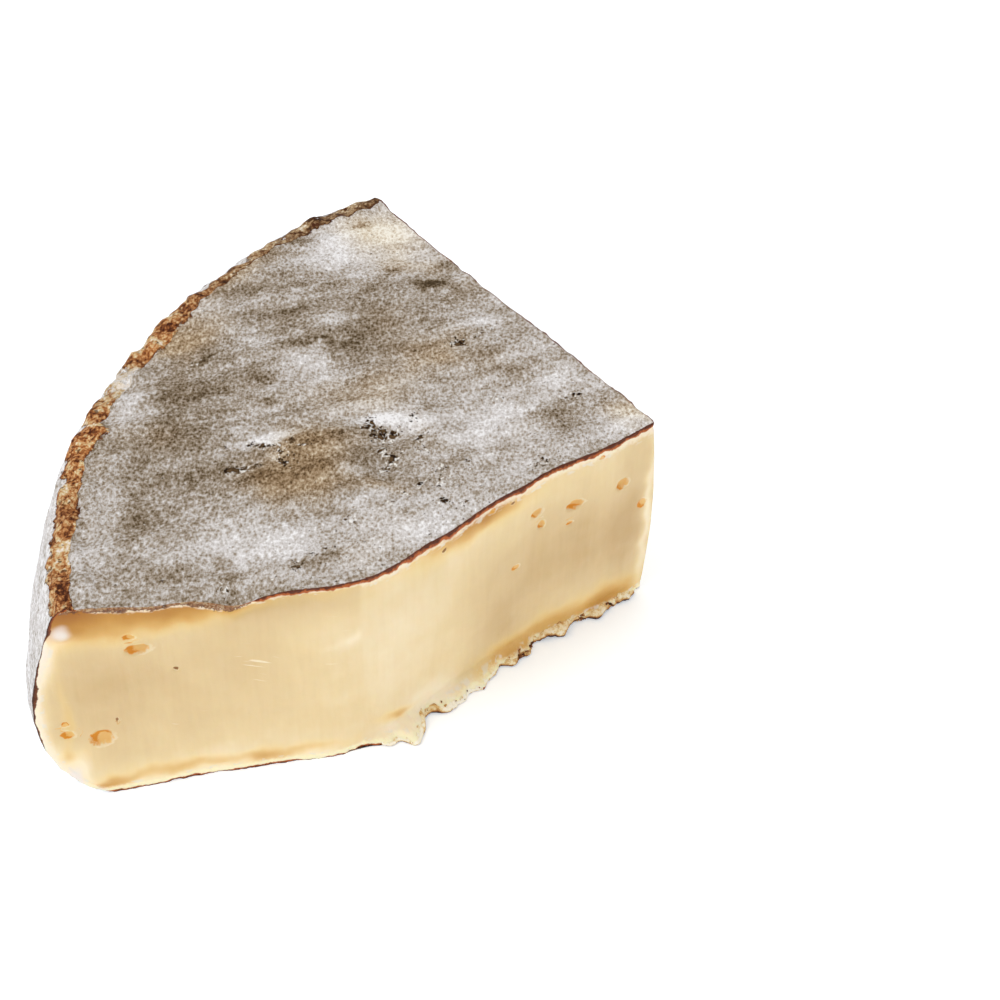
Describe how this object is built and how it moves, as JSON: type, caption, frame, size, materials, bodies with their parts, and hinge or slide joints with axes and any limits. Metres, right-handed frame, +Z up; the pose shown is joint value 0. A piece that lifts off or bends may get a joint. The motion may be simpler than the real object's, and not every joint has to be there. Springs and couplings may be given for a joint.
{
  "type": "saint-nectaire cheese, large cut piece",
  "caption": "Large cut piece of a ripened saint-nectaire wheel: mottled grey-brown mould rind over pale ivory paste, with a curved rim, flat cut faces and small eyes, lying on its base.",
  "frame": {"origin": "centre of the flat base's bounding box", "axes": "+Z up; the two front cut faces look towards -Y and the curved rim towards -X, as the picture shows them"},
  "size_m": [0.1178, 0.1314, 0.0472],
  "materials": {
    "rind": "dry, powdery mould rind",
    "paste": "smooth, slightly moist cut paste"
  },
  "bodies": {
    "root": {"cheese": "rind"}
  },
  "joints": []
}
